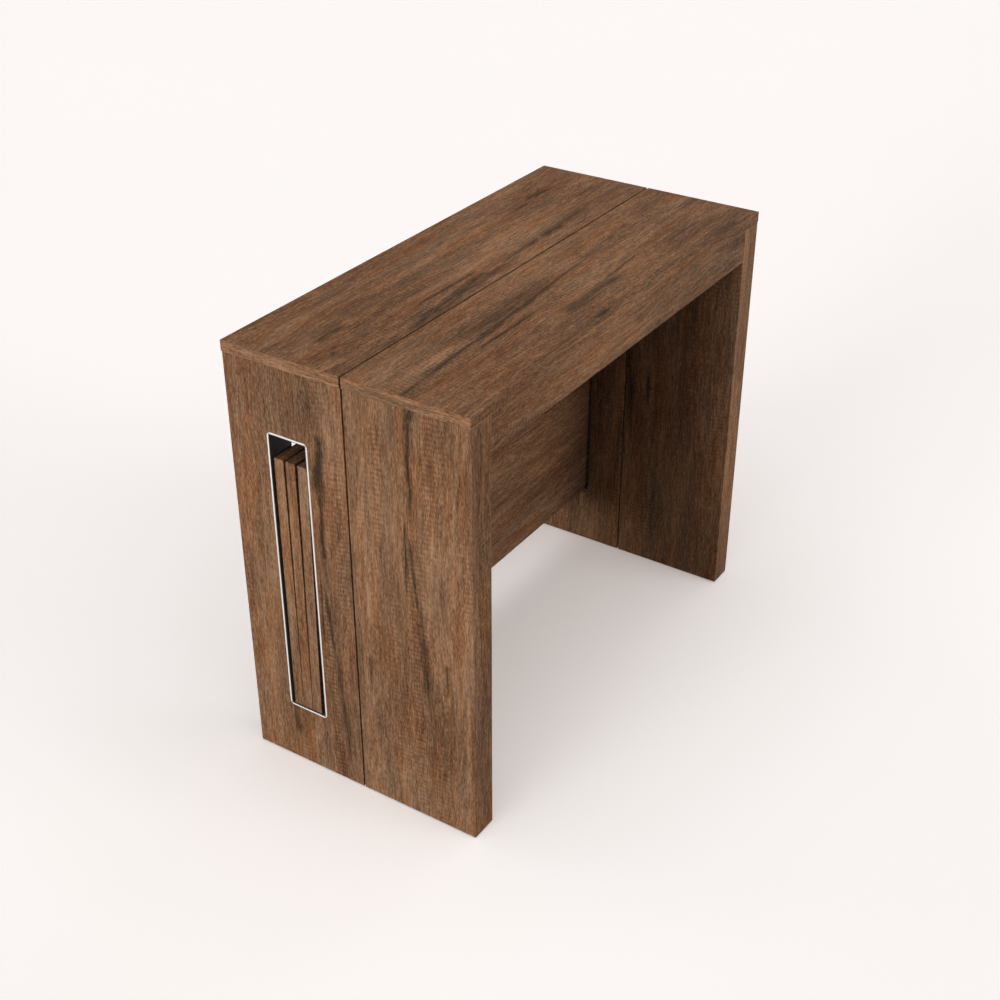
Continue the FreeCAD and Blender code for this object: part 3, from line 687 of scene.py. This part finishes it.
LEG_MARKS = (
    GrainMark(GREY, -30, 120, 334, 0.0, 3.0, 13),
    GrainMark(CRACK, -50, 75, 334, 0.0, 11.0, 16),
    GrainMark(CRACK, -20, 215, 332, 0.01, 3.4, 9),
    GrainMark(CRACK, 225, 370, 330, 0.09, 1.8, 7),
    GrainMark(CRACK, 340, 600, 345, 0.07, 0.8, 4),
    GrainMark(GREY, 330, 560, 345, 0.06, 3.0, 13),
    GrainMark(CRACK, 195, 360, 322, 0.0, 1.3, 5),
    GrainMark(GREY, 470, 560, 249, 0.0, 3.0, 10),
    GrainMark(CRACK, 430, 500, 392, 0.0, 1.3, 6),
    GrainMark(LIGHT, 260, 760, 428, 0.0, 2.0, 9),
    GrainMark(LIGHT, 120, 270, 367, 0.05, 2.0, 8),
    GrainMark(LIGHT, 40, 480, 254, 0.0, 2.0, 22),
    GrainMark(SAWN, 180, 900, 328, 0.025, 3.0, 18),
    GrainMark(SAWN, -60, 330, 368, 0.0, 3.0, 22),
    GrainMark(SAWN, 30, 300, 275, 0.0, 3.0, 22),
)
LEAF_MARKS = (
    GrainMark(GREY, 40, 330, 330, 0.0, 3.0, 26),
    GrainMark(LIGHT, 60, 420, 420, 0.02, 2.0, 24),
    GrainMark(GREY, 120, 300, 450, 0.0, 3.0, 12),
    GrainMark(CRACK, 480, 760, 300, 0.04, 1.8, 9),
    GrainMark(CRACK, 300, 520, 510, -0.03, 1.6, 8),
)


def leg_lay(side: Side) -> GrainLay:
    """Returns how the print runs down a leg and round its front edge.

    Args:
        side: the end of the table.

    Returns:
        The lay, counted down from the top's face and forward from the back.
    """
    return GrainLay((0, 0, -1), (-side.value, -1, 0), TOP_HEIGHT, HALF_DEPTH + LEG_REACH)


@dataclass
class TableFrame:
    """One of the two frames: a top on two legs with an apron, its fittings, glides and rail brackets."""

    half: Half
    top_lay: GrainLay
    top_marks: tuple[GrainMark, ...]
    leg_marks: dict[Side, tuple[GrainMark, ...]]
    seed: float
    # The tops and aprons are printed darker and the legs lighter: partly the print's own tone, partly painted
    # light that makes the table's ends brighter than its tops
    top_tone_and_painted_light: float
    leg_tone_and_painted_light: float = 0.05
    leg_seed_start: float = 43.0
    leg_seed_step: float = 9.0

    def node(self, part: str) -> bpy.types.Object:
        """Returns one of this frame's CAD nodes."""
        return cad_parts[f"{self.half.value}_{part}"]

    def dress(self, shop: EffectShop, hardware: "Hardware") -> None:
        """Gives every piece of the frame its finish.

        Args:
            shop: the shared effects.
            hardware: the finishes of the small parts.
        """
        name = self.half.value
        top = WalnutBoard(f"{name}_top_walnut", self.seed, self.top_lay, TOP_END, X_AXIS, self.top_marks,
                          self.top_tone_and_painted_light)
        material = top.material(shop)
        for part in ("top", "apron"):
            wear(self.node(part), material)
        for number, side in enumerate(Side):
            seed = self.seed + self.leg_seed_start + self.leg_seed_step * number
            leg = WalnutBoard(f"{name}_{side.prefix}_leg_walnut", seed, leg_lay(side), LEG_END, Z_AXIS,
                              self.leg_marks[side], self.leg_tone_and_painted_light)
            wear(self.node(f"{side.prefix}_leg"), leg.material(shop))
        wear(self.node("dowels"), hardware.beech)
        wear(self.node("cam_fittings"), hardware.zinc)
        wear(self.node("glides"), hardware.glide)
        wear(self.node("rail_brackets"), hardware.zinc)
        wear(self.node("rail_screws"), hardware.zinc)


@dataclass
class LeafStore:
    """The three extension leaves with their pins, and the two sleeves that they stand in."""

    count: int = 3
    seed: float = 210.0
    seed_step: float = 13.0
    print_start: float = 600.0
    print_step: tuple[float, float] = (70.0, 35.0)
    # Darker print on the leaves' faces: partly their own tone, partly painted shade for the panel deep under
    # the top
    face_shade: float = -0.08
    end_shade: float = 0.13

    def dress(self, shop: EffectShop, hardware: "Hardware") -> None:
        """Gives the leaves, pins and sleeves their finishes.

        Args:
            shop: the shared effects.
            hardware: the finishes of the small parts.
        """
        lay = GrainLay(X_AXIS, (0, 1, -1), HALF_WIDTH, self.print_start)
        for number in range(1, self.count + 1):
            board = WalnutBoard(f"leaf_{number}_walnut", self.seed + self.seed_step * number, lay, LEAF_END,
                                X_AXIS, self.marks(number), self.face_shade, self.end_shade)
            wear(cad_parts[f"leaf_{number}"], board.material(shop))
            wear(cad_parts[f"leaf_{number}_pins"], hardware.beech)
        for side in Side:
            wear(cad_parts[f"{side.prefix}_slot_sleeve"], hardware.sleeve)
        wear(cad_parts["front_top_pins"], hardware.pin_beech)
        wear(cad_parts["seam_bumpers"], hardware.rubber)

    def marks(self, number: int) -> tuple[GrainMark, ...]:
        """Returns a leaf's marks, each leaf cut from another place of the print."""
        along, across = (step * (self.count - number) for step in self.print_step)
        return tuple(mark.moved(along, across) for mark in LEAF_MARKS)


@dataclass
class RailSet:
    """The nested rails of both sides, with their sliders and stops."""

    rails: int = 6

    def dress(self, hardware: "Hardware") -> None:
        """Gives the rails, sliders and stops their finishes."""
        for side in Side:
            for number in range(1, self.rails + 1):
                wear(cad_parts[f"{side.prefix}_rail_{number}"], hardware.rail)
            for number in range(2, self.rails):
                wear(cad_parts[f"{side.prefix}_slider_{number}"], hardware.nylon)
                wear(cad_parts[f"{side.prefix}_stop_{number}"], hardware.nylon)
        for name in ("front_rail_sliders", "rear_rail_stops"):
            wear(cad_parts[name], hardware.nylon)


@dataclass(frozen=True)
class LinedSleeve:
    """The slot's sleeve: a satin near-white lip and a dark grey lining that is partly painted shade inside
    the slot, placed in millimetres.
    """

    name: str = "slot_sleeve_metal"
    lip_dark: Tint = Tint(226, 223, 220)
    lip_light: Tint = Tint(243, 241, 239)
    # Dark grey lining colours, partly painted shade on the slot's inner walls
    lining_and_shade_dark: Tint = Tint(44, 43, 41)
    lining_and_shade_light: Tint = Tint(62, 60, 57)
    lip_start: float = 448.2
    lip_inside: tuple[float, float] = (35.4, 253.6)
    centre: tuple[float, float] = (107.5, 369.6)
    pitch: float = 0.5
    lip_rough: float = 0.36
    lip_metallic: float = 0.6
    lining_rough: float = 0.55
    relief_depth: float = 0.00008
    relief_strength: float = 0.25

    def material(self, shop: EffectShop) -> bpy.types.Material:
        """Builds the material.

        Args:
            shop: the shared effects.

        Returns:
            The material.
        """
        finish = Finish(self.name)
        w = finish.wiring
        node = w.grouped(shop.lines, Along=w.along(finish.point, Z_AXIS),
                         Across=w.along(finish.point, Y_AXIS), Depth=w.along(finish.point, X_AXIS),
                         Pitch=self.pitch)
        mask = w.eased(node.outputs["Mask"], 0.1, 0.9)
        outer = w.maths("GREATER_THAN", w.maths("ABSOLUTE", w.along(finish.point, X_AXIS)), self.lip_start)
        rim = []
        for axis, middle, reach in zip((Y_AXIS, Z_AXIS), self.centre, self.lip_inside):
            far = w.maths("ABSOLUTE", w.maths("SUBTRACT", w.along(finish.point, axis), middle))
            rim.append(w.maths("GREATER_THAN", far, reach))
        outer = w.maths("MULTIPLY", outer, w.largest(rim))
        lip = w.tinted(mask, self.lip_dark.linear(), self.lip_light.linear())
        # The lining's dark grey is partly painted shade inside the slot
        lining = w.tinted(mask, self.lining_and_shade_dark.linear(), self.lining_and_shade_light.linear())
        finish.set(Base_Color=w.tinted(outer, lining, lip),
                   Roughness=w.between(outer, self.lining_rough, self.lip_rough),
                   Metallic=w.between(outer, 0.0, self.lip_metallic))
        finish.relief(node.outputs["Height"], self.relief_depth, self.relief_strength)
        return finish.material


class Hardware:
    """The finishes of the small parts, each built once."""

    def __init__(self, shop: EffectShop) -> None:
        """Builds the materials.

        Args:
            shop: the shared effects.
        """
        self.sleeve = LinedSleeve().material(shop)
        self.rail = DrawnFinish("drawn_rail_aluminium", Tint(146, 148, 151), Tint(186, 188, 191), Y_AXIS,
                                pitch=0.4, smooth=0.28, rough=0.44).material(shop)
        self.zinc = MottledFinish("zinc_plated_steel", Tint(150, 152, 155), Tint(196, 197, 198),
                                  grain=2.2, smooth=0.26, rough=0.46, metallic=1.0).material(shop)
        self.nylon = MottledFinish("moulded_nylon", Tint(31, 31, 32), Tint(48, 48, 49),
                                   grain=0.9, smooth=0.38, rough=0.52).material(shop)
        self.glide = MottledFinish("glide_plastic", Tint(34, 30, 27), Tint(58, 52, 47),
                                   grain=0.7, smooth=0.42, rough=0.6, relief_depth=0.0001).material(shop)
        self.rubber = MottledFinish("clear_bumper_rubber", Tint(214, 216, 214), Tint(234, 235, 233),
                                    grain=1.1, smooth=0.2, rough=0.34, transmission=0.6).material(shop)
        self.beech = self._beech("beech_pegs", Z_AXIS, shop)
        self.pin_beech = self._beech("beech_pins", Y_AXIS, shop)

    @staticmethod
    def _beech(name: str, along: tuple[float, float, float], shop: EffectShop) -> bpy.types.Material:
        """Returns beech with its grain along an axis."""
        return DrawnFinish(name, Tint(168, 124, 80), Tint(212, 172, 124), along,
                           pitch=0.5, smooth=0.46, rough=0.6, metallic=0.0).material(shop)


def wear(node: bpy.types.Object, material: bpy.types.Material) -> None:
    """Puts one finish on a whole piece.

    Args:
        node: the piece.
        material: its finish.
    """
    node.data.materials.clear()
    node.data.materials.append(material)
    log.info("%s wears %s", node.name, material.name)


@dataclass(frozen=True)
class Sun:
    """A very soft light that is even over the whole floor.

    towards is the direction from the table to the light, spread its width as an angle in degrees, and
    strength is in watts a square metre.
    """

    name: str
    towards: tuple[float, float, float]
    spread: float
    strength: float


SUNS = (
    Sun("left_light", (-0.99, 0.13, 0.04), 30.0, 3.25),
    Sun("front_light", (0.24, -0.96, 0.10), 36.0, 1.8),
    Sun("top_light", (-0.22, -0.18, 0.96), 90.0, 1.9),
    Sun("right_light", (0.99, -0.12, 0.0), 36.0, 1.2),
    Sun("back_light", (-0.10, 0.99, 0.02), 36.0, 1.2),
)


@dataclass
class Studio:
    """The pale floor, the soft light and the camera."""

    floor_reach: float = 14.0
    floor_grain: float = 900.0
    floor_mottle: float = 0.02
    floor_shown: Tint = Tint(240, 239, 239)
    floor_bounce: Tint = Tint(88, 95, 101)
    floor_glow: Tint = Tint(131, 121, 115)
    backdrop: Tint = Tint(252, 248, 245)
    ambient: float = 0.08
    lamp_distance: float = 4.0
    camera_place: tuple[float, float, float] = (-1.91177, -1.21749, 1.71609)
    camera_turn: tuple[float, float, float] = (58.446, 0.0, -56.961)
    camera_lens: float = 54.814
    camera_sensor: float = 36.0

    def build(self, shop: EffectShop) -> None:
        """Builds the whole studio.

        Args:
            shop: the shared effects.
        """
        self._floor(shop)
        self._world()
        for sun in SUNS:
            self._light(sun)
        self._camera()

    @staticmethod
    def _shown(wiring: Wiring) -> Socket:
        """Returns 1 where the camera, a reflection or a clear piece shows the surface, and 0 elsewhere."""
        path = wiring.place("ShaderNodeLightPath")
        return wiring.largest([path.outputs[f"Is {ray} Ray"] for ray in ("Camera", "Glossy", "Transmission")])

    def _floor(self, shop: EffectShop) -> None:
        """Lays the floor."""
        shape = bmesh.new()
        bmesh.ops.create_grid(shape, x_segments=2, y_segments=2, size=self.floor_reach)
        mesh = bpy.data.meshes.new("floor")
        shape.to_mesh(mesh)
        shape.free()
        floor = bpy.data.objects.new("floor", mesh)
        bpy.context.scene.collection.objects.link(floor)
        finish = Finish("pale_floor")
        w = finish.wiring
        node = w.grouped(shop.speckle, Point=finish.point, Grain=self.floor_grain)
        mottle = w.eased(node.outputs["Mask"], 0.0, 1.0, 0.0, self.floor_mottle)
        shade = w.tinted(mottle, self.floor_shown.linear(), self.floor_bounce.linear())
        shown = self._shown(w)
        finish.set(Base_Color=w.tinted(shown, self.floor_bounce.linear(), shade), Roughness=0.9,
                   Specular_IOR_Level=0.0, Emission_Color=self.floor_glow.linear(), Emission_Strength=shown)
        mesh.materials.append(finish.material)

    def _world(self) -> None:
        """Lights the studio from all round, with a pale backdrop."""
        world = bpy.data.worlds.new("studio")
        world.use_nodes = True
        bpy.context.scene.world = world
        w = Wiring(world.node_tree)
        sky = world.node_tree.nodes["Background"]
        shown = self._shown(w)
        level = self.ambient
        w.feed(sky.inputs["Color"], w.tinted(shown, (level, level, level, 1.0), self.backdrop.linear()))
        w.feed(sky.inputs["Strength"], 1.0)

    def _light(self, sun: Sun) -> None:
        """Adds one light.

        Args:
            sun: the light's direction, width and strength.
        """
        light = bpy.data.lights.new(sun.name, "SUN")
        light.angle = math.radians(sun.spread)
        light.energy = sun.strength
        lamp = bpy.data.objects.new(sun.name, light)
        lamp.location = Vector(sun.towards) * self.lamp_distance
        lamp.rotation_euler = (-Vector(sun.towards)).to_track_quat("-Z", "Y").to_euler()
        bpy.context.scene.collection.objects.link(lamp)

    def _camera(self) -> None:
        """Sets up the photograph's viewpoint."""
        data = bpy.data.cameras.new("camera")
        data.lens = self.camera_lens
        data.sensor_width = self.camera_sensor
        camera = bpy.data.objects.new("camera", data)
        camera.location = self.camera_place
        camera.rotation_euler = Euler([math.radians(angle) for angle in self.camera_turn])
        bpy.context.scene.collection.objects.link(camera)
        bpy.context.scene.camera = camera


def table_frames() -> tuple[TableFrame, TableFrame]:
    """Returns the rear and front frames with their prints."""
    rear_left = tuple(mark.moved(150.0, -165.0) for mark in LEG_MARKS)
    rear_right = tuple(mark.moved(60.0, -250.0) for mark in LEG_MARKS)
    front_right = tuple(mark.moved(-90.0, -75.0) for mark in LEG_MARKS)
    return (TableFrame(Half.REAR, REAR_TOP_LAY, REAR_TOP_MARKS,
                       {Side.LEFT: rear_left, Side.RIGHT: rear_right}, seed=5.0, top_tone_and_painted_light=-0.03),
            TableFrame(Half.FRONT, FRONT_TOP_LAY, FRONT_TOP_MARKS,
                       {Side.LEFT: LEG_MARKS, Side.RIGHT: front_right}, seed=105.0, top_tone_and_painted_light=-0.01))


def main() -> None:
    """Builds the finishes and the studio."""
    logging.basicConfig(level=logging.INFO, format="%(message)s")
    bpy.context.scene.view_settings.view_transform = "Standard"
    shop = EffectShop()
    hardware = Hardware(shop)
    for table_frame in table_frames():
        table_frame.dress(shop, hardware)
    LeafStore().dress(shop, hardware)
    RailSet().dress(hardware)
    Studio().build(shop)


if __name__ == "__main__":
    main()
